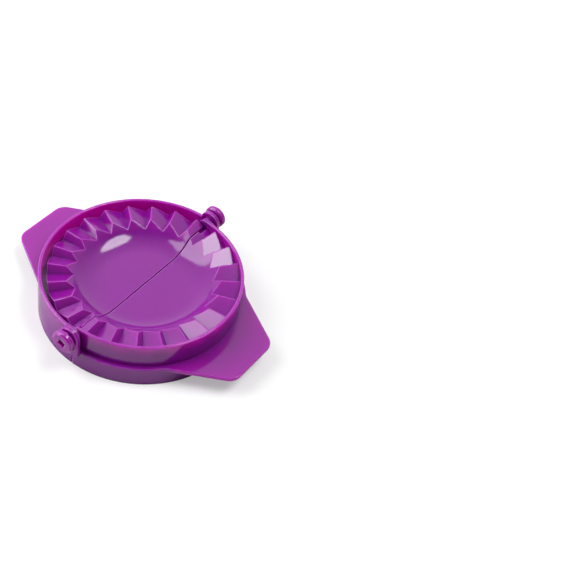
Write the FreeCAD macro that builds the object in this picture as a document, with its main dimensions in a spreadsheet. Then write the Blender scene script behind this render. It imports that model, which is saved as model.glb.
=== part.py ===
"""Empanada press: two hinged moulded halves and the two headed pins that join them.

The press lies open on its cutting skirts. Its hinge line runs along Y above the origin, the
half with the outer rim is on -X and the half with the inner rim on +X. Lengths are in
millimetres, angles in degrees, Z is up and the skirts stand on z = 0.
"""
import FreeCAD, Part
import math
import os
import types
import Sketcher

doc = FreeCAD.newDocument("EmpanadaPress")

SIZES = [
    ("skirt_radius", 50.0, "outside of the dough cutting skirt at the table"),
    ("skirt_wall", 1.5, "thickness of the skirt"),
    ("skirt_edge", 0.7, "width of its cutting edge"),
    ("skirt_bevel", 2.2, "height of the bevel above that edge"),
    ("rim_height", 23.5, "both sealing rims, above the table"),
    ("outer_rim_wall", 1.5, "thickness of the outer half's rim"),
    ("inner_rim_wall", 1.5, "thickness of the inner half's rim"),
    ("rim_draft", 0.3, "how far the outer rim leans in from foot to top"),
    ("rim_gap", 0.5, "between the nested rims, on the radius"),
    ("rim_bevel", 0.35, "bevel of the rims' top edges"),
    ("ledge_height", 10.8, "top of the inner half's ledge and of both thumb tabs"),
    ("ledge_wall", 1.6, "thickness of that ledge"),
    ("parting_gap", 0.7, "between the two halves along the hinge line"),
    ("teeth_count", 24, "crimping teeth in the full circle"),
    ("ramp_share", 0.75, "share of a tooth's pitch that its long flank takes"),
    ("ridge_drop", 1.5, "ridges at the teeth's outer ends, below the rims' tops"),
    ("tooth_depth", 4.0, "valleys at the teeth's outer ends, below the ridges"),
    ("mesh_gap", 0.7, "between the meshed teeth of the closed press, upwards"),
    ("apex_drop", 2.6, "point on the centre line that tooth edges aim at, below the ridges"),
    ("ridge_land", 0.4, "flat along the ridge at its outer end"),
    ("tooth_gap", 0.5, "between the outer half's teeth and the inner rim when closed"),
    ("ring_wall", 1.6, "thickness of the ring below the valleys"),
    ("chamfer_run", 3.8, "run of the chamfer at the teeth's inner ends"),
    ("teeth_run", 12.75, "teeth and chamfer, from their outer ends in to the dish"),
    ("dish_edge_drop", 3.6, "dish's edge below the ridges"),
    ("dish_depth", 4.8, "flat floor of the dish below its edge"),
    ("dish_floor_radius", 21.0, "radius of that flat floor"),
    ("dish_wall", 1.6, "thickness of the dish"),
    ("channel_gap", 1.5, "between the channel's floor and the rim that closes into it"),
    ("channel_wall", 1.6, "thickness under the channel and beside it"),
    ("tab_length", 17.4, "thumb tab's reach past the skirt"),
    ("tab_half_width", 14.6, "half of its outer edge, before rounding"),
    ("tab_root_half_width", 31.8, "half of its width where its sides meet the skirt"),
    ("tab_wall", 1.7, "thickness of the tab"),
    ("tab_corner", 7.0, "rounding of its outer corners"),
    ("tab_root", 9.0, "rounding where its sides leave the skirt"),
    ("tab_bevel", 0.4, "bevel of its top edge"),
    ("ear_gap", 0.3, "between the skirt's outside and the hinge ear's inner face"),
    ("ear_wall", 2.1, "thickness of the ear"),
    ("ear_radius", 5.2, "round top of the ear about the pivot"),
    ("ear_foot_drop", 0.4, "lower edge of the ear below the ledge"),
    ("ear_bevel", 0.35, "bevel of the ear's outer edge"),
    ("gusset_height", 5.2, "ear's gusset, from the skirt up to the ear's lower edge"),
    ("gusset_foot_width", 2.0, "width of the gusset where it leaves the skirt"),
    ("gusset_top_drop", 0.6, "top of the outer half's gusset below the room for the boss"),
    ("boss_radius", 2.9, "boss that carries a pin up to the other half's ear"),
    ("boss_gap", 0.2, "between a boss and that ear"),
    ("boss_room", 0.8, "room cut in the outer rim round the inner half's boss"),
    ("pin_radius", 2.2, "shank of a hinge pin"),
    ("pin_clearance", 0.06, "running clearance of the ear round the pin"),
    ("pin_setback", 0.1, "pin's inner end behind the face it is pressed through"),
    ("collar_radius", 3.3, "collar between ear and head"),
    ("collar_length", 1.1, "length of that collar"),
    ("collar_gap", 0.1, "between collar and ear"),
    ("head_radius", 5.7, "pin's head"),
    ("head_thickness", 3.4, "thickness of the head"),
    ("head_bevel", 0.9, "bevel of the head's edges"),
    ("socket_width", 3.6, "square core hole in the head"),
    ("socket_depth", 1.8, "depth of that hole"),
    ("socket_turn", 21.0, "turn of the square in the photographed position"),
    ("cut_margin", 5.0, "overrun of cuts past the body"),
]


class Term:
    """A value together with the sheet expression that gives it."""

    def __init__(self, text, value):
        self.text = text
        self.value = value

    def __add__(self, other):
        return joined(self, "+", other, lambda left, right: left + right)

    def __sub__(self, other):
        return joined(self, "-", other, lambda left, right: left - right)

    def __mul__(self, other):
        return joined(self, "*", other, lambda left, right: left * right)

    def __truediv__(self, other):
        return joined(self, "/", other, lambda left, right: left / right)

    def __rmul__(self, other):
        return self * other

    def __rtruediv__(self, other):
        return joined(other, "/", self, lambda left, right: left / right)

    def __neg__(self):
        return Term(f"(-1 * {self.text})", -self.value)


def as_term(number):
    """A plain number as a term, and a term as it is."""
    return number if isinstance(number, Term) else Term(str(number), float(number))


def joined(left, sign, right, work):
    """Two terms joined by a sign, in text and in value."""
    left, right = as_term(left), as_term(right)
    return Term(f"({left.text} {sign} {right.text})", work(left.value, right.value))


def tangent(angle):
    return Term(f"tan({angle.text})", math.tan(math.radians(angle.value)))


def root(square):
    return Term(f"sqrt({square.text})", math.sqrt(square.value))


sheet = doc.addObject("Spreadsheet::Sheet", "Sizes")
sheet.Label = "Sizes"
for row, (alias, number, note) in enumerate(SIZES, start=1):
    sheet.set(f"A{row}", alias)
    sheet.set(f"B{row}", str(number))
    sheet.set(f"C{row}", note)
    sheet.setAlias(f"B{row}", alias)
doc.recompute()
S = types.SimpleNamespace(**{alias: Term(f"Sizes.{alias}", float(number)) for alias, number, _ in SIZES})

# Closeness within which two lengths count as the same when edges are picked.
CLOSE = S.skirt_radius.value / 5000

# Levels and radii that follow from the sizes and are shared by the pieces.
RIDGE_HEIGHT = S.rim_height - S.ridge_drop
VALLEY_HEIGHT = RIDGE_HEIGHT - S.tooth_depth
APEX_HEIGHT = RIDGE_HEIGHT - S.apex_drop
PIVOT = (RIDGE_HEIGHT + VALLEY_HEIGHT + S.mesh_gap) / 2
OUTER_RIM_OUTSIDE = S.skirt_radius - S.rim_draft
OUTER_RIM_INSIDE = OUTER_RIM_OUTSIDE - S.outer_rim_wall
INNER_RIM_OUTSIDE = OUTER_RIM_INSIDE - S.rim_gap
INNER_RIM_INSIDE = INNER_RIM_OUTSIDE - S.inner_rim_wall
TEETH_RADIUS = INNER_RIM_INSIDE - S.tooth_gap
RING_UNDERSIDE = VALLEY_HEIGHT - S.ring_wall
DISH_EDGE_RADIUS = TEETH_RADIUS - S.teeth_run
DISH_EDGE_HEIGHT = RIDGE_HEIGHT - S.dish_edge_drop
DISH_FLOOR_HEIGHT = DISH_EDGE_HEIGHT - S.dish_depth
CHANNEL_FLOOR = 2 * PIVOT - S.rim_height - S.channel_gap
TAB_REACH = S.skirt_radius + S.tab_length
EAR_INNER_FACE = S.skirt_radius + S.ear_gap
EAR_OUTER_FACE = EAR_INNER_FACE + S.ear_wall
EAR_FOOT = S.ledge_height - S.ear_foot_drop
BOSS_END = EAR_INNER_FACE - S.boss_gap
PIVOT_TO_RIM = S.rim_height - PIVOT
BOSS_ROOM_RADIUS = S.boss_radius + S.boss_room


def drive(thing, prop, term):
    """Binds a property to a term of the sheet."""
    thing.setExpression(prop, term.text)


def new_body(label):
    body = doc.addObject("PartDesign::Body", label)
    body.Label = label
    return body


def origin_item(body, role):
    """One of a body's own origin planes or axes."""
    return next(item for item in body.Origin.OriginFeatures if item.Role == role)


def new_sketch(body, name, role, offset=None):
    """A sketch on one of the body's origin planes, moved along its normal by offset."""
    sketch = body.newObject("Sketcher::SketchObject", name)
    sketch.AttachmentSupport = [(origin_item(body, role), "")]
    sketch.MapMode = "FlatFace"
    if offset is not None:
        drive(sketch, "AttachmentOffset.Base.z", offset)
    sketch.Visibility = False
    return sketch


def hold(sketch, edge, end, axis, term):
    """Ties one coordinate of a sketch point to a term, or to the axis where it is zero."""
    if isinstance(term, Term):
        kind = "DistanceX" if axis == 0 else "DistanceY"
        index = sketch.addConstraint(Sketcher.Constraint(kind, -1, 1, edge, end, term.value))
        drive(sketch, f"Constraints[{index}]", term)
    else:
        sketch.addConstraint(Sketcher.Constraint("PointOnObject", edge, end, -2 if axis == 0 else -1))


def plane_point(place):
    """A pair of terms as a point of the sketch plane."""
    return FreeCAD.Vector(as_term(place[0]).value, as_term(place[1]).value, 0)


def draw_outline(sketch, corners, arcs=None):
    """Draws a closed outline through corners, each a pair of terms.

    arcs maps the number of a side to (centre, leftward): that side is round about this centre
    and runs counter-clockwise when leftward is true.
    """
    arcs = arcs or {}
    ends = []
    for number, start_place in enumerate(corners):
        start = plane_point(start_place)
        end = plane_point(corners[(number + 1) % len(corners)])
        if number in arcs:
            centre = plane_point(arcs[number][0])
            first, last = (start, end) if arcs[number][1] else (end, start)
            begin = math.atan2(first.y - centre.y, first.x - centre.x)
            finish = math.atan2(last.y - centre.y, last.x - centre.x)
            finish += 2 * math.pi if finish <= begin else 0
            circle = Part.Circle(centre, FreeCAD.Vector(0, 0, 1), (start - centre).Length)
            edge = sketch.addGeometry(Part.ArcOfCircle(circle, begin, finish))
            ends.append((edge, 1, 2) if arcs[number][1] else (edge, 2, 1))
        else:
            ends.append((sketch.addGeometry(Part.LineSegment(start, end)), 1, 2))
    for number, (edge, head, _) in enumerate(ends):
        last_edge, _, last_tail = ends[number - 1]
        sketch.addConstraint(Sketcher.Constraint("Coincident", last_edge, last_tail, edge, head))
        after_arc = (number - 1) % len(corners) in arcs
        if after_arc:
            centre = arcs[(number - 1) % len(corners)][0]
            reach = plane_point(corners[number]) - plane_point(centre)
            axis = 1 if abs(reach.x) > abs(reach.y) else 0
            hold(sketch, last_edge, last_tail, axis, corners[number][axis])
        else:
            hold(sketch, edge, head, 0, corners[number][0])
            hold(sketch, edge, head, 1, corners[number][1])
    for number, (centre, _) in arcs.items():
        hold(sketch, ends[number][0], 3, 0, centre[0])
        hold(sketch, ends[number][0], 3, 1, centre[1])


def draw_circle(sketch, centre, radius):
    """A circle about a point given by a pair of terms."""
    circle = Part.Circle(plane_point(centre), FreeCAD.Vector(0, 0, 1), radius.value)
    edge = sketch.addGeometry(circle)
    hold(sketch, edge, 3, 0, centre[0])
    hold(sketch, edge, 3, 1, centre[1])
    index = sketch.addConstraint(Sketcher.Constraint("Radius", edge, radius.value))
    drive(sketch, f"Constraints[{index}]", radius)


def revolve(body, name, corners, arcs=None):
    """Turns a profile in radius and height once round the body's Z axis."""
    sketch = new_sketch(body, f"{name}Profile", "XZ_Plane")
    draw_outline(sketch, corners, arcs)
    turned = body.newObject("PartDesign::Revolution", name)
    turned.Profile = sketch
    turned.ReferenceAxis = (origin_item(body, "Z_Axis"), [""])
    turned.Angle = 360
    return turned


def extrude(body, name, sketch, length, kind="PartDesign::Pad", backwards=False):
    """Pads or pockets a sketch by a length."""
    made = body.newObject(kind, name)
    made.Profile = sketch
    drive(made, "Length", length)
    made.Reversed = backwards
    return made


def dress_edges(body, name, kind, prop, term, wanted):
    """Rounds or bevels the edges of the body that a test picks."""
    doc.recompute()
    base = body.Tip
    names = [f"Edge{n}" for n, edge in enumerate(base.Shape.Edges, start=1) if wanted(edge)]
    dressing = body.newObject(kind, name)
    dressing.Base = (base, names)
    drive(dressing, prop, term)
    return dressing


def round_edges(body, name, radius, wanted):
    return dress_edges(body, name, "PartDesign::Fillet", "Radius", radius, wanted)


def bevel_edges(body, name, size, wanted):
    return dress_edges(body, name, "PartDesign::Chamfer", "Size", size, wanted)


def cone_height(radius):
    """Height of the ridges' cone at a radius."""
    return APEX_HEIGHT + S.apex_drop * radius / TEETH_RADIUS


def dish_outline(after_teeth):
    """The shell's section: dish, chamfer, tooth blank, then after_teeth, then the underside."""
    run = DISH_EDGE_RADIUS - S.dish_floor_radius
    curve = (run * run + S.dish_depth * S.dish_depth) / (2 * S.dish_depth)
    centre = (S.dish_floor_radius, DISH_FLOOR_HEIGHT + curve)
    under_curve = curve + S.dish_wall
    drop = centre[1] - RING_UNDERSIDE
    under_edge = S.dish_floor_radius + root(under_curve * under_curve - drop * drop)
    chamfer_top = DISH_EDGE_RADIUS + S.chamfer_run
    above = [
        (0, DISH_FLOOR_HEIGHT),
        (S.dish_floor_radius, DISH_FLOOR_HEIGHT),
        (DISH_EDGE_RADIUS, DISH_EDGE_HEIGHT),
        (chamfer_top, cone_height(chamfer_top)),
    ]
    below = [
        (under_edge, RING_UNDERSIDE),
        (S.dish_floor_radius, DISH_FLOOR_HEIGHT - S.dish_wall),
        (0, DISH_FLOOR_HEIGHT - S.dish_wall),
    ]
    corners = above + after_teeth + below
    arcs = {1: (centre, True), len(above) + len(after_teeth): (centre, False)}
    return corners, arcs


def cut_teeth(body):
    """Cuts the gap between two saw teeth through the blank and repeats it round the circle."""
    pitch = 360 / S.teeth_count
    stretch = (S.tooth_depth + S.cut_margin) / S.tooth_depth
    sections = []
    for name, radius in (("GapInner", S.dish_floor_radius), ("GapOuter", OUTER_RIM_OUTSIDE)):
        scale = radius / TEETH_RADIUS
        valley = -radius * tangent(pitch * S.ramp_share / 2)
        ramp_end = -valley - S.ridge_land * scale / 2
        steep_end = S.ridge_land * scale / 2 - radius * tangent(pitch - pitch * S.ramp_share / 2)
        bottom = APEX_HEIGHT + (VALLEY_HEIGHT - APEX_HEIGHT) * scale
        top = bottom + (S.tooth_depth + S.cut_margin) * scale
        sketch = new_sketch(body, name, "YZ_Plane", radius)
        draw_outline(sketch, [
            (valley, bottom),
            (valley + (ramp_end - valley) * stretch, top),
            (valley + (steep_end - valley) * stretch, top),
        ])
        sections.append(sketch)
    gap = body.newObject("PartDesign::SubtractiveLoft", "ToothGap")
    gap.Profile = sections[0]
    gap.Sections = sections[1:]
    gap.Ruled = True
    teeth = body.newObject("PartDesign::PolarPattern", "Teeth")
    teeth.Originals = [gap]
    teeth.Axis = (origin_item(body, "Z_Axis"), [""])
    teeth.Angle = 360
    drive(teeth, "Occurrences", S.teeth_count)
    body.Tip = teeth


def cut_half(body):
    """Takes away everything past the parting plane, which leaves the half on -X."""
    sketch = new_sketch(body, "OtherHalf", "XY_Plane", -S.cut_margin)
    side = S.skirt_radius + S.cut_margin
    edge = -S.parting_gap / 2
    draw_outline(sketch, [(edge, -side), (side, -side), (side, side), (edge, side)])
    length = S.rim_height + 2 * S.cut_margin
    extrude(body, "PartingCut", sketch, length, "PartDesign::Pocket", backwards=True)


def rim_end(body, rim_inside, rim_outside):
    """Rounds off the rim's front end about the pivot and adds the boss that holds the pin."""
    back = -1.5 * PIVOT_TO_RIM
    sketch = new_sketch(body, "LugOutline", "XZ_Plane", rim_inside)
    draw_outline(sketch, [
        (back, PIVOT - PIVOT_TO_RIM),
        (0, PIVOT - PIVOT_TO_RIM),
        (0, S.rim_height),
        (back, S.rim_height),
    ], {1: ((0, PIVOT), True)})
    extrude(body, "Lug", sketch, rim_outside - rim_inside)
    boss = new_sketch(body, "BossOutline", "XZ_Plane", rim_outside)
    draw_circle(boss, (0, PIVOT), S.boss_radius)
    extrude(body, "Boss", boss, BOSS_END - rim_outside)
    hole = new_sketch(body, "LugHoleOutline", "XZ_Plane", rim_inside - S.cut_margin)
    draw_circle(hole, (0, PIVOT), S.pin_radius)
    length = BOSS_END - rim_inside + 2 * S.cut_margin
    extrude(body, "LugHole", hole, length, "PartDesign::Pocket", backwards=True)


def ear(body, gusset_top):
    """Adds the ear at the back end, its gusset from the skirt and the bore for the other pin."""
    skirt_middle = S.skirt_radius - S.skirt_wall / 2
    gusset_foot = EAR_FOOT - S.gusset_height
    near = -S.parting_gap / 2
    front = new_sketch(body, "GussetOutline", "XZ_Plane", -skirt_middle)
    draw_outline(front, [
        (near, gusset_foot),
        (near, gusset_top),
        (-S.ear_radius, gusset_top),
        (-S.ear_radius, EAR_FOOT),
        (near - S.gusset_foot_width, gusset_foot),
    ])
    extrude(body, "Gusset", front, EAR_OUTER_FACE - skirt_middle, backwards=True)
    slope = new_sketch(body, "GussetSlopeOutline", "YZ_Plane", near)
    draw_outline(slope, [
        (S.skirt_radius, gusset_foot),
        (EAR_OUTER_FACE, EAR_FOOT),
        (EAR_OUTER_FACE + S.cut_margin, EAR_FOOT),
        (EAR_OUTER_FACE + S.cut_margin, gusset_foot - S.cut_margin),
        (S.skirt_radius, gusset_foot - S.cut_margin),
    ])
    extrude(body, "GussetSlope", slope, S.ear_radius + S.cut_margin, "PartDesign::Pocket")
    sketch = new_sketch(body, "EarOutline", "XZ_Plane", -EAR_INNER_FACE)
    draw_outline(sketch, [
        (-S.ear_radius, EAR_FOOT),
        (S.ear_radius, EAR_FOOT),
        (S.ear_radius, PIVOT),
        (-S.ear_radius, PIVOT),
    ], {2: ((0, PIVOT), True)})
    extrude(body, "Ear", sketch, S.ear_wall, backwards=True)
    outer_face = EAR_OUTER_FACE.value - CLOSE
    foot = EAR_FOOT.value + CLOSE

    def at_ear_edge(edge):
        return edge.BoundBox.YMin > outer_face and edge.BoundBox.ZMax > foot

    bevel_edges(body, "EarEdges", S.ear_bevel, at_ear_edge)
    hole = new_sketch(body, "EarHoleOutline", "XZ_Plane", S.boss_gap - EAR_INNER_FACE)
    draw_circle(hole, (0, PIVOT), S.pin_radius + S.pin_clearance)
    length = S.ear_wall + S.boss_gap + S.cut_margin
    extrude(body, "EarHole", hole, length, "PartDesign::Pocket")


def is_upright(edge, tall):
    """Whether an edge stands upright over the height of the tab."""
    return abs(edge.BoundBox.ZLength - tall) < CLOSE and edge.Length < tall + CLOSE


def thumb_tab(body, from_ledge):
    """Adds the thumb tab, with rounded corners and roots.

    Where it runs out from a ledge, one bevel goes along its top edge and the ledge's.
    """
    skirt_middle = S.skirt_radius - S.skirt_wall / 2
    root_y = S.tab_root_half_width
    root_x = root(skirt_middle * skirt_middle - root_y * root_y)
    sketch = new_sketch(body, "TabOutline", "XY_Plane", S.ledge_height)
    draw_outline(sketch, [
        (-TAB_REACH, -S.tab_half_width),
        (-root_x, -root_y),
        (-root_x, root_y),
        (-TAB_REACH, S.tab_half_width),
    ], {1: ((0, 0), False)})
    extrude(body, "Tab", sketch, S.tab_wall, backwards=True)
    tall = S.tab_wall.value
    top = S.ledge_height.value + CLOSE
    skirt = S.skirt_radius.value + CLOSE
    reach = TAB_REACH.value - CLOSE

    def at_corner(edge):
        return is_upright(edge, tall) and edge.BoundBox.XMax < -reach

    def at_root(edge):
        box = edge.BoundBox
        between = box.ZMax < top and box.ZMin > top - tall - 2 * CLOSE and box.ZLength > tall / 3
        return between and box.XMax < -S.ear_radius.value and math.hypot(box.Center.x, box.Center.y) < skirt

    def at_top_edge(edge):
        return edge.BoundBox.XMax < -reach and edge.BoundBox.ZMin > top - tall / 2

    round_edges(body, "TabCorners", S.tab_corner, at_corner)
    round_edges(body, "TabRoots", S.tab_root, at_root)
    if from_ledge:
        bevel_edges(body, "TabEdges", S.tab_bevel, at_top_edge)


def skirt_foot():
    """The skirt's section below the inside of the wall: bevel and cutting edge."""
    inside = S.skirt_radius - S.skirt_wall
    return [
        (inside, S.skirt_bevel),
        (S.skirt_radius - S.skirt_edge, 0),
        (S.skirt_radius, 0),
    ]


def bevelled_top(inside, outside):
    """Corners of a rim's top, from its outside over to its inside."""
    shoulder = S.rim_height - S.rim_bevel
    return [
        (outside, shoulder),
        (outside - S.rim_bevel, S.rim_height),
        (inside + S.rim_bevel, S.rim_height),
        (inside, shoulder),
    ]


def make_outer_half():
    """The half with the outer rim and the channel that takes the other half's rim."""
    body = new_body("outer_half")
    wall_middle = OUTER_RIM_OUTSIDE - S.outer_rim_wall / 2
    channel_underside = CHANNEL_FLOOR - S.channel_wall
    channel_side = TEETH_RADIUS - S.channel_wall
    revolve(body, "Shell", *dish_outline([
        (TEETH_RADIUS, RIDGE_HEIGHT),
        (TEETH_RADIUS, CHANNEL_FLOOR),
        (wall_middle, CHANNEL_FLOOR),
        (wall_middle, channel_underside),
        (channel_side, channel_underside),
        (channel_side, RING_UNDERSIDE),
    ]))
    cut_teeth(body)
    revolve(body, "Wall", skirt_foot() + bevelled_top(OUTER_RIM_INSIDE, OUTER_RIM_OUTSIDE))
    cut_half(body)
    thumb_tab(body, False)
    ear(body, PIVOT - BOSS_ROOM_RADIUS - S.gusset_top_drop)
    room = new_sketch(body, "BossRoomOutline", "XZ_Plane", -EAR_INNER_FACE)
    top = S.rim_height + S.cut_margin
    draw_outline(room, [
        (-BOSS_ROOM_RADIUS, PIVOT),
        (BOSS_ROOM_RADIUS, PIVOT),
        (BOSS_ROOM_RADIUS, top),
        (-BOSS_ROOM_RADIUS, top),
    ], {0: ((0, PIVOT), True)})
    depth = EAR_INNER_FACE - (TEETH_RADIUS + OUTER_RIM_INSIDE) / 2
    extrude(body, "BossRoom", room, depth, "PartDesign::Pocket", backwards=True)
    rim_end(body, OUTER_RIM_INSIDE, OUTER_RIM_OUTSIDE)
    return body


def make_inner_half():
    """The half whose rim stands inside the other's, above a ledge."""
    body = new_body("inner_half")
    wall_middle = (INNER_RIM_INSIDE + INNER_RIM_OUTSIDE) / 2
    revolve(body, "Shell", *dish_outline([
        (wall_middle, cone_height(wall_middle)),
        (wall_middle, RING_UNDERSIDE),
    ]))
    cut_teeth(body)
    foot = [
        (INNER_RIM_INSIDE, S.ledge_height - S.ledge_wall),
        (S.skirt_radius - S.skirt_wall, S.ledge_height - S.ledge_wall),
    ] + skirt_foot() + [
        (S.skirt_radius, S.ledge_height),
        (INNER_RIM_OUTSIDE, S.ledge_height),
    ]
    revolve(body, "Wall", foot + bevelled_top(INNER_RIM_INSIDE, INNER_RIM_OUTSIDE))
    cut_half(body)
    thumb_tab(body, True)
    ear(body, S.ledge_height)
    rim_end(body, INNER_RIM_INSIDE, INNER_RIM_OUTSIDE)
    body.Placement.Rotation = FreeCAD.Rotation(FreeCAD.Vector(0, 0, 1), 180)
    return body


def make_hinge_pin(label, pressed_face):
    """A headed pin along Y: shank from the face it is pressed through, collar, cored head."""
    body = new_body(label)
    collar_start = EAR_OUTER_FACE + S.collar_gap
    head_start = collar_start + S.collar_length
    head_end = head_start + S.head_thickness
    rim = S.head_radius - S.head_bevel
    sketch = new_sketch(body, "PinProfile", "YZ_Plane")
    draw_outline(sketch, [
        (pressed_face + S.pin_setback, PIVOT),
        (head_end, PIVOT),
        (head_end, PIVOT + rim),
        (head_end - S.head_bevel, PIVOT + S.head_radius),
        (head_start + S.head_bevel, PIVOT + S.head_radius),
        (head_start, PIVOT + rim),
        (head_start, PIVOT + S.collar_radius),
        (collar_start, PIVOT + S.collar_radius),
        (collar_start, PIVOT + S.pin_radius),
        (pressed_face + S.pin_setback, PIVOT + S.pin_radius),
    ])
    turned = body.newObject("PartDesign::Revolution", "Pin")
    turned.Profile = sketch
    turned.ReferenceAxis = (sketch, ["Edge1"])
    turned.Angle = 360
    side = S.socket_width / 2
    square = new_sketch(body, "SocketOutline", "XZ_Plane", -head_end)
    draw_outline(square, [(-side, -side), (side, -side), (side, side), (-side, side)])
    drive(square, "AttachmentOffset.Base.y", PIVOT)
    square.AttachmentOffset.Rotation = FreeCAD.Rotation(FreeCAD.Vector(0, 0, 1), 1)
    drive(square, "AttachmentOffset.Rotation.Angle", S.socket_turn)
    extrude(body, "Socket", square, S.socket_depth, "PartDesign::Pocket", backwards=True)
    return body


halves = [make_outer_half(), make_inner_half()]
rear_pin = make_hinge_pin("hinge_pin_rear", INNER_RIM_INSIDE)
front_pin = make_hinge_pin("hinge_pin_front", OUTER_RIM_INSIDE)
front_pin.Placement.Rotation = FreeCAD.Rotation(FreeCAD.Vector(0, 0, 1), 180)
bodies = halves + [front_pin, rear_pin]
doc.recompute()

for thing in doc.Objects:
    if "Invalid" in thing.State or "Error" in thing.State:
        raise RuntimeError(f"{thing.Label} was not computed: {thing.State}")
for body in bodies:
    if body.Shape.isNull() or not body.Shape.isValid() or len(body.Shape.Solids) != 1:
        raise RuntimeError(f"{body.Label} is not one valid solid")
    print(body.Label, "volume", round(body.Shape.Volume, 1), body.Shape.BoundBox)

os.makedirs("parts", exist_ok=True)
for body in bodies:
    body.Shape.exportStep(f"parts/{body.Label}.step")
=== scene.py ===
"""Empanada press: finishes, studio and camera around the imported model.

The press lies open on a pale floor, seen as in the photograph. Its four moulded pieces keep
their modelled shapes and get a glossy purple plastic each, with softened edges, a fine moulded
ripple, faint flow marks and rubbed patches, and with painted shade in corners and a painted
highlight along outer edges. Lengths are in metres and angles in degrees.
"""
import logging
import math
from dataclasses import dataclass, field
from enum import Enum

import bpy
from mathutils import Matrix, Vector

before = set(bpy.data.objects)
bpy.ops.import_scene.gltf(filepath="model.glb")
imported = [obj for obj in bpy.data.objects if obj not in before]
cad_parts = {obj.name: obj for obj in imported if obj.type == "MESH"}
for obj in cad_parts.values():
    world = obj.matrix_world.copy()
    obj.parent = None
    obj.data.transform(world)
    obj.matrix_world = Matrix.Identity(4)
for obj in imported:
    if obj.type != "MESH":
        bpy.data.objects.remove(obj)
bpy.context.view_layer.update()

LOG = logging.getLogger("press")
MM = 0.001
IMAGE_SIZE = 576
SENSOR = 36.0
PROBE_RAYS = 8
SCREEN_WHITE = 255
SCREEN_KNEE, SCREEN_SLOPE = 0.04045, 12.92
SCREEN_SHIFT, SCREEN_POWER = 0.055, 2.4

Colour = tuple[float, float, float, float]
Socket = bpy.types.NodeSocket


class Piece(Enum):
    """The moulded pieces, by the names that the model gives them."""

    OUTER_HALF = "outer_half"
    INNER_HALF = "inner_half"
    FRONT_PIN = "hinge_pin_front"
    REAR_PIN = "hinge_pin_rear"


class Softbox(Enum):
    """The lamps of the studio."""

    KEY = "key_softbox"
    FILL = "fill_softbox"


class Blend(Enum):
    """What a Mix node blends: its data type, and the places of its inputs and its output."""

    VALUE = ("FLOAT", 2, 3, 0)
    NORMAL = ("VECTOR", 4, 5, 1)
    COLOUR = ("RGBA", 6, 7, 2)


class Pattern(Enum):
    """The noise on the plastic: waves in a unit of its coordinate, and its finer layers."""

    RUBBED_PATCHES = (38.0, 3.0)
    FINE_GRAIN = (900.0, 2.0)
    HAIR_SCRATCHES = (3.0, 4.0)
    SLOW_SWELL = (70.0, 1.0)
    FLOW_MARKS = (55.0, 5.0)


class Face(Enum):
    """The shapes that a lamp's face can have."""

    OVAL = "ELLIPSE"
    OBLONG = "RECTANGLE"


def srgb(red: int, green: int, blue: int) -> Colour:
    """Turns a screen colour into a scene colour.

    Args:
        red: Red, from 0 to 255.
        green: Green, from 0 to 255.
        blue: Blue, from 0 to 255.

    Returns:
        The colour in linear light, with full cover.
    """
    parts = []
    for value in (red, green, blue):
        share = value / SCREEN_WHITE
        dark = share / SCREEN_SLOPE
        light = ((share + SCREEN_SHIFT) / (1 + SCREEN_SHIFT)) ** SCREEN_POWER
        parts.append(dark if share <= SCREEN_KNEE else light)
    return (parts[0], parts[1], parts[2], 1.0)


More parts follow.
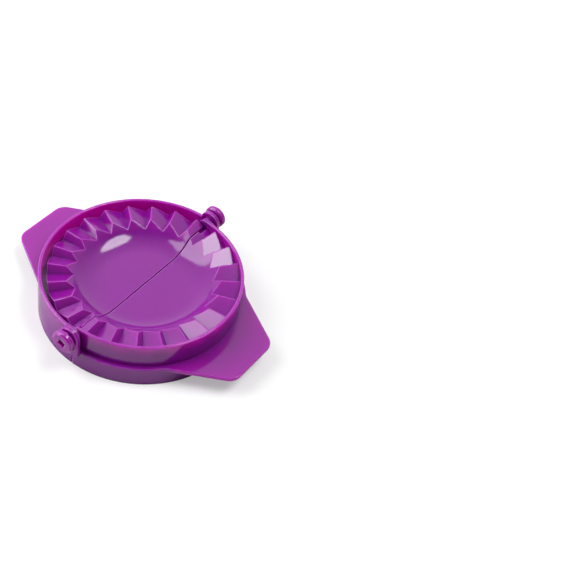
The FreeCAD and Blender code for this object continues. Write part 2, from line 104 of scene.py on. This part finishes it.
@dataclass
class Tree:
    """A node tree that is being built, with short ways to add and join nodes.

    Attributes:
        tree: The tree itself.
    """

    tree: bpy.types.NodeTree

    def add(self, kind: str, name: str, **values: object) -> bpy.types.Node:
        """Adds a node.

        Args:
            kind: The node's type, such as ShaderNodeTexNoise.
            name: The label to give it.
            **values: Properties to set on the node.

        Returns:
            The new node.
        """
        node = self.tree.nodes.new(kind)
        node.name = name
        node.label = name
        for prop, value in values.items():
            setattr(node, prop, value)
        return node

    def join(self, source: Socket, target: Socket) -> None:
        """Links an output to an input."""
        self.tree.links.new(source, target)

    def feed(self, source: Socket | float, target: Socket) -> None:
        """Gives an input either an output or a fixed number.

        Args:
            source: The output or the number.
            target: The input.
        """
        if isinstance(source, Socket):
            self.join(source, target)
        else:
            target.default_value = source

    def maths(
        self, operation: str, first: Socket | float, second: Socket | float, name: str,
    ) -> Socket:
        """Adds a Math node.

        Args:
            operation: What it does, such as MULTIPLY.
            first: A socket or a number.
            second: A socket or a number.
            name: The label to give it.

        Returns:
            Its output.
        """
        node = self.add("ShaderNodeMath", name, operation=operation)
        self.feed(first, node.inputs[0])
        self.feed(second, node.inputs[1])
        return node.outputs["Value"]

    def ramp(self, source: Socket, low: float, high: float, name: str, top: float = 1.0) -> Socket:
        """Adds a Map Range node that rises from 0.

        Args:
            source: The value to read.
            low: Where it starts to rise.
            high: Where it stops rising.
            name: The label to give it.
            top: The value that it rises to.

        Returns:
            Its output.
        """
        node = self.add("ShaderNodeMapRange", name)
        node.inputs["From Min"].default_value = low
        node.inputs["From Max"].default_value = high
        node.inputs["To Max"].default_value = top
        self.join(source, node.inputs["Value"])
        return node.outputs["Result"]

    def blend(
        self, kind: Blend, mask: Socket, first: Socket | float, second: Socket | float, name: str,
    ) -> Socket:
        """Adds a Mix node.

        Args:
            kind: What it blends.
            mask: The share of the second input.
            first: A socket or a number.
            second: A socket or a number.
            name: The label to give it.

        Returns:
            Its output.
        """
        data_type, place_one, place_two, result = kind.value
        node = self.add("ShaderNodeMix", name, data_type=data_type)
        self.join(mask, node.inputs[0])
        self.feed(first, node.inputs[place_one])
        self.feed(second, node.inputs[place_two])
        return node.outputs[result]

    def openness(self, distance: float, name: str) -> Socket:
        """Adds a probe of how open the space over the surface is.

        Args:
            distance: How far it looks.
            name: The label to give it.

        Returns:
            Its value: 1 in the open and 0 where all is closed.
        """
        node = self.add("ShaderNodeAmbientOcclusion", name, samples=PROBE_RAYS)
        node.inputs["Distance"].default_value = distance
        return node.outputs["AO"]

    def noise(self, where: Socket, pattern: Pattern) -> Socket:
        """Adds a noise texture.

        Args:
            where: The coordinate to read it at.
            pattern: The pattern to draw.

        Returns:
            Its value, from 0 to 1.
        """
        node = self.add("ShaderNodeTexNoise", pattern.name.replace("_", " ").capitalize())
        node.inputs["Scale"].default_value, node.inputs["Detail"].default_value = pattern.value
        self.join(where, node.inputs["Vector"])
        return node.outputs["Fac"]


@dataclass(frozen=True)
class Skin:
    """How the patterns and the edges of the plastic are drawn.

    Attributes:
        grain: Share of the fine grain in the surface height.
        stretch: Units in a metre along X, Y and Z, which draw the hair scratches out along X.
        corner_reach: How far away the walls of a corner are felt, for the painted shade there.
        rim_reach: How far beside an edge the space is looked at.
        rim_closed: Openness up to which an edge is an inner one.
        rim_open: Openness from which an edge is an outer one.
        edge_gain: How fast the mask of the painted edge highlight fills as the normal turns.
    """

    grain: float = 0.04
    stretch: tuple[float, float, float] = (30.0, 900.0, 300.0)
    corner_reach: float = 4 * MM
    rim_reach: float = 1.5 * MM
    rim_closed: float = 0.72
    rim_open: float = 0.92
    edge_gain: float = 6.0


SKIN = Skin()


def new_group(
    name: str, inputs: dict[str, tuple[str, object]], outputs: dict[str, str],
) -> tuple[Tree, bpy.types.Node, bpy.types.Node]:
    """Makes an empty shader node group with named sockets.

    Args:
        name: The group's name.
        inputs: Socket name to its type and default.
        outputs: Socket name to its type.

    Returns:
        The tree, its input node and its output node.
    """
    group = bpy.data.node_groups.new(name, "ShaderNodeTree")
    for label, (kind, value) in inputs.items():
        socket = group.interface.new_socket(name=label, in_out="INPUT", socket_type=kind)
        socket.default_value = value
    for label, kind in outputs.items():
        group.interface.new_socket(name=label, in_out="OUTPUT", socket_type=kind)
    tree = Tree(group)
    return tree, tree.add("NodeGroupInput", "In"), tree.add("NodeGroupOutput", "Out")


def moulded_skin_group() -> bpy.types.NodeTree:
    """Makes the group for the skin that a polished mould leaves.

    Returns:
        A group that gives a roughness and a surface height from the ripple and the rubbing.
    """
    tree, given, out = new_group(
        "MouldedSkin",
        {
            "Base Roughness": ("NodeSocketFloat", 0.15),
            "Rubbing": ("NodeSocketFloat", 0.1),
            "Ripple": ("NodeSocketFloat", 0.5),
        },
        {"Roughness": "NodeSocketFloat", "Height": "NodeSocketFloat"},
    )
    place = tree.add("ShaderNodeTexCoord", "Place").outputs["Object"]
    patches = tree.noise(place, Pattern.RUBBED_PATCHES)
    fine = tree.noise(place, Pattern.FINE_GRAIN)
    stretch = tree.add("ShaderNodeMapping", "Stretch along X")
    stretch.inputs["Scale"].default_value = SKIN.stretch
    tree.join(place, stretch.inputs["Vector"])
    hair = tree.noise(stretch.outputs["Vector"], Pattern.HAIR_SCRATCHES)
    worn = tree.maths("MULTIPLY", patches, hair, "Scratched patches")
    worn = tree.maths("MULTIPLY", worn, given.outputs["Rubbing"], "Rubbing")
    rough = tree.maths("ADD", given.outputs["Base Roughness"], worn, "Roughness")
    tree.join(rough, out.inputs["Roughness"])
    swell = tree.noise(place, Pattern.SLOW_SWELL)
    swell = tree.maths("MULTIPLY", swell, given.outputs["Ripple"], "Swell share")
    fine = tree.maths("MULTIPLY", fine, SKIN.grain, "Grain share")
    height = tree.maths("ADD", swell, fine, "Height")
    tree.join(height, out.inputs["Height"])
    return tree.tree


def plastic_tint_group() -> bpy.types.NodeTree:
    """Makes the group for the plastic's colour.

    Returns:
        A group that mixes a body colour with a darker one along flow marks, with painted shade
        in corners, and with a painted highlight along outer edges.
    """
    tree, given, out = new_group(
        "PlasticTint",
        {
            "Body Color": ("NodeSocketColor", (0.3, 0.01, 0.33, 1.0)),
            "Deep Color": ("NodeSocketColor", (0.2, 0.0, 0.22, 1.0)),
            "Edge Color": ("NodeSocketColor", (0.5, 0.08, 0.52, 1.0)),
            "Flow": ("NodeSocketFloat", 0.2),
            "Corner": ("NodeSocketFloat", 0.4),
            "Edge": ("NodeSocketFloat", 0.0),
        },
        {"Color": "NodeSocketColor"},
    )
    place = tree.add("ShaderNodeTexCoord", "Place").outputs["Object"]
    marks = tree.noise(place, Pattern.FLOW_MARKS)
    marks = tree.maths("MULTIPLY", marks, given.outputs["Flow"], "Flow share")
    # Painted shade: the colour turns darker where nearby walls close the space, as in corners and
    # creases.
    closed = tree.maths("SUBTRACT", 1.0, tree.openness(SKIN.corner_reach, "Corners"), "Closed")
    closed = tree.maths("MULTIPLY", closed, given.outputs["Corner"], "Corner share")
    share = tree.maths("ADD", marks, closed, "Deep share")
    body, flow_and_shade, edge_highlight = (given.outputs[f"{name} Color"] for name in ("Body", "Deep", "Edge"))
    tint = tree.blend(Blend.COLOUR, share, body, flow_and_shade, "Body and deep")
    # Painted highlight: outer edges are lightened in the colour.
    tint = tree.blend(Blend.COLOUR, given.outputs["Edge"], tint, edge_highlight, "Lit edges")
    tree.join(tint, out.inputs["Color"])
    return tree.tree


def soft_edge_group() -> bpy.types.NodeTree:
    """Makes the group that rounds the outer edges in the shading.

    Returns:
        A group that gives a normal turned smoothly over each outer edge, and a mask of them for a
        painted highlight.
    """
    tree, given, out = new_group(
        "SoftEdge",
        {"Radius": ("NodeSocketFloat", 0.3 * MM)},
        {"Normal": "NodeSocketVector", "Edge": "NodeSocketFloat"},
    )
    bevel = tree.add("ShaderNodeBevel", "Rounding", samples=PROBE_RAYS)
    tree.join(given.outputs["Radius"], bevel.inputs["Radius"])
    faces = tree.add("ShaderNodeNewGeometry", "Faces")
    agree = tree.add("ShaderNodeVectorMath", "Agreement", operation="DOT_PRODUCT")
    tree.join(bevel.outputs["Normal"], agree.inputs[0])
    tree.join(faces.outputs["True Normal"], agree.inputs[1])
    turned = tree.maths("SUBTRACT", 1.0, agree.outputs["Value"], "Turned")
    share = tree.maths("MULTIPLY", turned, SKIN.edge_gain, "Edge share")
    share = tree.maths("MINIMUM", share, 1.0, "Edge of either kind")
    beside = tree.openness(SKIN.rim_reach, "Beside the edge")
    outer = tree.ramp(beside, SKIN.rim_closed, SKIN.rim_open, "Outer edge")
    # Mask of outer edges, where the tint paints a highlight.
    tree.join(tree.maths("MULTIPLY", share, outer, "Edge"), out.inputs["Edge"])
    normal = tree.blend(
        Blend.NORMAL, outer, faces.outputs["Normal"], bevel.outputs["Normal"], "Outer edges only")
    tree.join(normal, out.inputs["Normal"])
    return tree.tree


@dataclass(frozen=True)
class GlossPlastic:
    """A glossy moulded plastic.

    Attributes:
        name: The material's name.
        body: Its colour.
        flow_and_shade: Its darker colour along flow marks, and the painted shade in corners.
        edge_highlight: Its lighter colour along outer edges, a painted highlight.
        roughness: Roughness of the clean skin.
        rubbing: Roughness that handling adds in patches.
        ripple: Share of the slow swell in the surface height.
        edge: Radius to which edges are softened.
        flow: Strength of the flow marks.
        corner: Strength of the painted shade in corners.
        scatter: Share of light that goes into the plastic.
        reach: Scale of how far light goes through it.
        passing: How far red, green and blue light go, as shares of that.
        ior: Index of refraction.
        relief: Strength of the surface height in the shading.
        relief_height: Height of the tallest swell.
    """

    name: str
    body: Colour
    flow_and_shade: Colour
    edge_highlight: Colour
    roughness: float = 0.09
    rubbing: float = 0.08
    ripple: float = 0.4
    edge: float = 0.6 * MM
    flow: float = 0.25
    corner: float = 0.4
    scatter: float = 0.8
    reach: float = 12 * MM
    passing: tuple[float, float, float] = (1.0, 0.12, 0.6)
    ior: float = 1.54
    relief: float = 0.25
    relief_height: float = 0.12 * MM

    def material(self) -> bpy.types.Material:
        """Builds the material from the shared groups.

        Returns:
            A material that holds one Principled shader.
        """
        material = bpy.data.materials.new(self.name)
        material.use_nodes = True
        tree = Tree(material.node_tree)
        shader = material.node_tree.nodes["Principled BSDF"]
        tint = self.placed(tree, "PlasticTint")
        tint.inputs["Body Color"].default_value = self.body
        # The base colour carries painted shade in corners and a painted highlight along outer
        # edges.
        tint.inputs["Deep Color"].default_value = self.flow_and_shade
        tint.inputs["Edge Color"].default_value = self.edge_highlight
        tint.inputs["Flow"].default_value = self.flow
        tint.inputs["Corner"].default_value = self.corner
        tree.join(tint.outputs["Color"], shader.inputs["Base Color"])
        skin = self.placed(tree, "MouldedSkin")
        skin.inputs["Base Roughness"].default_value = self.roughness
        skin.inputs["Rubbing"].default_value = self.rubbing
        skin.inputs["Ripple"].default_value = self.ripple
        tree.join(skin.outputs["Roughness"], shader.inputs["Roughness"])
        edge = self.placed(tree, "SoftEdge")
        edge.inputs["Radius"].default_value = self.edge
        # The outer-edge mask lays a painted highlight into the base colour.
        tree.join(edge.outputs["Edge"], tint.inputs["Edge"])
        bump = tree.add("ShaderNodeBump", "Skin relief")
        bump.inputs["Strength"].default_value = self.relief
        bump.inputs["Distance"].default_value = self.relief_height
        tree.join(skin.outputs["Height"], bump.inputs["Height"])
        tree.join(edge.outputs["Normal"], bump.inputs["Normal"])
        tree.join(bump.outputs["Normal"], shader.inputs["Normal"])
        shader.inputs["IOR"].default_value = self.ior
        shader.inputs["Subsurface Weight"].default_value = self.scatter
        shader.inputs["Subsurface Radius"].default_value = self.passing
        shader.inputs["Subsurface Scale"].default_value = self.reach
        return material

    def placed(self, tree: Tree, group: str) -> bpy.types.Node:
        """Puts one of the shared groups into the material's tree."""
        return tree.add("ShaderNodeGroup", group, node_tree=bpy.data.node_groups[group])


# Second colour: flow marks and painted shade in corners; third: painted highlight along outer
# edges.
HALF_PLASTIC = GlossPlastic(
    "half_plastic",
    body=srgb(141, 18, 150), flow_and_shade=srgb(112, 4, 122), edge_highlight=srgb(206, 100, 212))
PIN_PLASTIC = GlossPlastic(
    "pin_plastic",
    body=srgb(144, 22, 152), flow_and_shade=srgb(112, 4, 120), edge_highlight=srgb(204, 100, 210),
    edge=0.7 * MM)


@dataclass
class MouldedPiece:
    """One moulded piece of the press.

    Attributes:
        piece: The modelled node that it is.
        finish: The plastic that it is moulded in.
    """

    piece: Piece
    finish: GlossPlastic

    def node(self) -> bpy.types.Object:
        """The modelled node that the piece keeps."""
        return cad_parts[self.piece.value]

    def dress(self, materials: dict[str, bpy.types.Material]) -> None:
        """Gives the node its material.

        Args:
            materials: The built materials by name.
        """
        node = self.node()
        node.data.materials.clear()
        node.data.materials.append(materials[self.finish.name])
        LOG.info("%s dressed in %s", self.piece.value, self.finish.name)


@dataclass
class Press:
    """The whole press.

    Attributes:
        pieces: Its two halves and its two pins.
    """

    pieces: list[MouldedPiece] = field(default_factory=lambda: [
        MouldedPiece(Piece.OUTER_HALF, HALF_PLASTIC),
        MouldedPiece(Piece.INNER_HALF, HALF_PLASTIC),
        MouldedPiece(Piece.FRONT_PIN, PIN_PLASTIC),
        MouldedPiece(Piece.REAR_PIN, PIN_PLASTIC),
    ])

    def build(self) -> None:
        """Builds the materials and dresses every piece."""
        moulded_skin_group()
        plastic_tint_group()
        soft_edge_group()
        materials = {finish.name: finish.material() for finish in (HALF_PLASTIC, PIN_PLASTIC)}
        for piece in self.pieces:
            piece.dress(materials)


@dataclass(frozen=True)
class Lamp:
    """A softbox that aims at the press.

    Attributes:
        azimuth: Direction round the press, from +X towards +Y.
        elevation: Height above the floor, as an angle.
        away: Distance from the press.
        width: Width of its face.
        height: Height of its face.
        face: Shape of its face.
        radiance: Brightness of its face, where a white sky has 1.
    """

    azimuth: float
    elevation: float
    away: float
    width: float
    height: float
    face: Face
    radiance: float

    def place(self, name: str, target: Vector) -> None:
        """Makes the lamp.

        Args:
            name: The lamp's name.
            target: The point it aims at.
        """
        turn, lift = math.radians(self.azimuth), math.radians(self.elevation)
        level = math.cos(lift)
        way = Vector((math.cos(turn) * level, math.sin(turn) * level, math.sin(lift)))
        data = bpy.data.lights.new(name, "AREA")
        data.shape = self.face.value
        data.size, data.size_y = self.width, self.height
        filled = math.pi / 4 if self.face is Face.OVAL else 1.0
        area = self.width * self.height * filled
        data.energy = self.radiance * math.pi * area
        lamp = bpy.data.objects.new(name, data)
        lamp.location = target + way * self.away
        lamp.rotation_euler = way.to_track_quat("Z", "Y").to_euler()
        bpy.context.scene.collection.objects.link(lamp)


LAMPS = {
    Softbox.KEY: Lamp(
        azimuth=32, elevation=65, away=1.4, width=0.9, height=0.57,
        face=Face.OVAL, radiance=8.8),
    Softbox.FILL: Lamp(
        azimuth=-146, elevation=38, away=0.75, width=0.48, height=0.94,
        face=Face.OBLONG, radiance=4.3),
}


@dataclass
class Studio:
    """A plain pale floor, soft lamps and a sky that is brighter at the back left.

    Attributes:
        aim: The point that the lamps aim at.
        floor_side: Length of the floor's sides.
        floor_colour: The floor's colour as a surface.
        floor_roughness: The floor's roughness.
        floor_seen: Light that the floor adds where the camera sees it.
        floor_mirrored: Light that it adds where the press mirrors it.
        lit_near: Distance up to which the lamps light the floor well.
        lit_far: Distance from which the floor has to look white by itself.
        sky_side: Direction of the sky's bright side.
        sky_low: Brightness that the press mirrors from the rest of the sky.
        sky_gain: Brightness that the bright side adds to that.
        sky_light: Share of the mirrored sky that lights the press.
    """

    aim: tuple[float, float, float] = (0.0, 0.0, 0.01)
    floor_side: float = 6.0
    floor_colour: Colour = (0.62, 0.62, 0.62, 1.0)
    floor_roughness: float = 0.9
    floor_seen: float = 0.36
    floor_mirrored: float = 0.06
    lit_near: float = 0.2
    lit_far: float = 1.2
    sky_side: tuple[float, float, float] = (-0.62, 0.62, 0.5)
    sky_low: float = 0.15
    sky_gain: float = 1.0
    sky_light: float = 0.55

    def build(self) -> None:
        """Makes the floor, the lamps and the sky."""
        self.floor()
        for name, lamp in LAMPS.items():
            lamp.place(name.value, Vector(self.aim))
        self.world()

    def rays(self, tree: Tree) -> tuple[Socket, Socket]:
        """Adds masks of the rays that show a background.

        Args:
            tree: The node tree that gets them.

        Returns:
            A mask of camera rays, and one of mirror and see-through rays.
        """
        path = tree.add("ShaderNodeLightPath", "Rays")
        glossy, through = path.outputs["Is Glossy Ray"], path.outputs["Is Transmission Ray"]
        return path.outputs["Is Camera Ray"], tree.maths("MAXIMUM", glossy, through, "Mirrored")

    def floor(self) -> None:
        """Makes the floor, which keeps the press's shadow and reads as white elsewhere."""
        half = self.floor_side / 2
        mesh = bpy.data.meshes.new("floor")
        corners = [(-half, -half, 0), (half, -half, 0), (half, half, 0), (-half, half, 0)]
        mesh.from_pydata(corners, [], [(0, 1, 2, 3)])
        floor = bpy.data.objects.new("floor", mesh)
        bpy.context.scene.collection.objects.link(floor)
        material = bpy.data.materials.new("pale_floor")
        material.use_nodes = True
        tree = Tree(material.node_tree)
        shader = material.node_tree.nodes["Principled BSDF"]
        shader.inputs["Base Color"].default_value = self.floor_colour
        shader.inputs["Roughness"].default_value = self.floor_roughness
        shader.inputs["Specular IOR Level"].default_value = 0.0
        camera, mirror = self.rays(tree)
        lift = tree.maths("MULTIPLY", mirror, self.floor_mirrored, "Mirrored lift")
        lift = tree.blend(Blend.VALUE, camera, lift, self.floor_seen, "Lift")
        away = tree.add("ShaderNodeVectorMath", "Away from the press", operation="LENGTH")
        tree.join(tree.add("ShaderNodeTexCoord", "Place").outputs["Object"], away.inputs[0])
        far = tree.ramp(
            away.outputs["Value"], self.lit_near, self.lit_far, "Beyond the lamps",
            top=1.0 - self.floor_seen)
        shown = tree.maths("MAXIMUM", camera, mirror, "Seen or mirrored")
        far = tree.maths("MULTIPLY", far, shown, "Far lift")
        glow = tree.add("ShaderNodeEmission", "Glow")
        tree.join(tree.maths("ADD", lift, far, "Whole lift"), glow.inputs["Strength"])
        both = tree.add("ShaderNodeAddShader", "Floor and glow")
        tree.join(shader.outputs["BSDF"], both.inputs[0])
        tree.join(glow.outputs["Emission"], both.inputs[1])
        surface = material.node_tree.nodes["Material Output"].inputs["Surface"]
        tree.join(both.outputs["Shader"], surface)
        mesh.materials.append(material)

    def world(self) -> None:
        """Makes the sky: white when seen, brighter on one side in mirrors, dimmer as a light."""
        world = bpy.data.worlds.new("sky")
        bpy.context.scene.world = world
        world.use_nodes = True
        tree = Tree(world.node_tree)
        back = world.node_tree.nodes["Background"]
        back.inputs["Color"].default_value = (1.0, 1.0, 1.0, 1.0)
        way = tree.add("ShaderNodeTexCoord", "Way").outputs["Generated"]
        towards = tree.add("ShaderNodeVectorMath", "Towards the light", operation="DOT_PRODUCT")
        tree.join(way, towards.inputs[0])
        towards.inputs[1].default_value = self.sky_side
        share = tree.maths("MAXIMUM", towards.outputs["Value"], 0.0, "Bright share")
        share = tree.maths("MULTIPLY", share, self.sky_gain, "Bright gain")
        mirrored = tree.maths("ADD", share, self.sky_low, "Mirrored sky")
        strength = tree.maths("MULTIPLY", mirrored, self.sky_light, "Lighting sky")
        camera, mirror = self.rays(tree)
        for name, mask, value in (("Or mirrored", mirror, mirrored), ("Or seen", camera, 1.0)):
            strength = tree.blend(Blend.VALUE, mask, strength, value, name)
        tree.join(strength, back.inputs["Strength"])


@dataclass(frozen=True)
class PhotoCamera:
    """The photograph's camera, solved from the rims, the teeth and the tabs.

    Attributes:
        azimuth: Turn of its view about the vertical; at 0 it looks along +Y.
        elevation: How far it looks down.
        roll: Turn of the picture about the line of sight.
        focal: Focal length in pixels.
        away: Depth of the origin in front of the camera.
        origin_x: Pixel column of the origin.
        origin_y: Pixel row of the origin.
        nearest: Distance from which the camera sees.
    """

    azimuth: float = 26.50652
    elevation: float = 46.89858
    roll: float = 12.17904
    focal: float = 1120.0
    away: float = 0.55
    origin_x: float = 142.25
    origin_y: float = 303.0
    nearest: float = 0.01

    def build(self) -> None:
        """Makes the camera and hands it to the scene."""
        angles = (self.azimuth, self.elevation, self.roll)
        turn, lift, roll = (math.radians(angle) for angle in angles)
        flat = math.cos(lift)
        ahead = Vector((-math.sin(turn) * flat, math.cos(turn) * flat, -math.sin(lift)))
        level = Vector((math.cos(turn), math.sin(turn), 0.0))
        upward = level.cross(ahead)
        across = level * math.cos(roll) + upward * math.sin(roll)
        upright = upward * math.cos(roll) - level * math.sin(roll)
        middle = IMAGE_SIZE / 2
        right = (self.origin_x - middle) * self.away / self.focal
        above = (middle - self.origin_y) * self.away / self.focal
        eye = -right * across - above * upright - self.away * ahead
        data = bpy.data.cameras.new("photo_camera")
        data.sensor_width = SENSOR
        data.lens = self.focal / IMAGE_SIZE * SENSOR
        data.clip_start = self.nearest
        camera = bpy.data.objects.new("photo_camera", data)
        turned = Matrix((across, upright, -ahead)).transposed().to_4x4()
        camera.matrix_world = Matrix.Translation(eye) @ turned
        bpy.context.scene.collection.objects.link(camera)
        bpy.context.scene.camera = camera
        LOG.info("camera at %s", tuple(round(value, 4) for value in eye))


def main() -> None:
    """Dresses the press and sets up the studio and the camera."""
    logging.basicConfig(level=logging.INFO, format="%(name)s: %(message)s")
    bpy.context.scene.view_settings.view_transform = "Standard"
    Press().build()
    Studio().build()
    PhotoCamera().build()


if __name__ == "__main__":
    main()
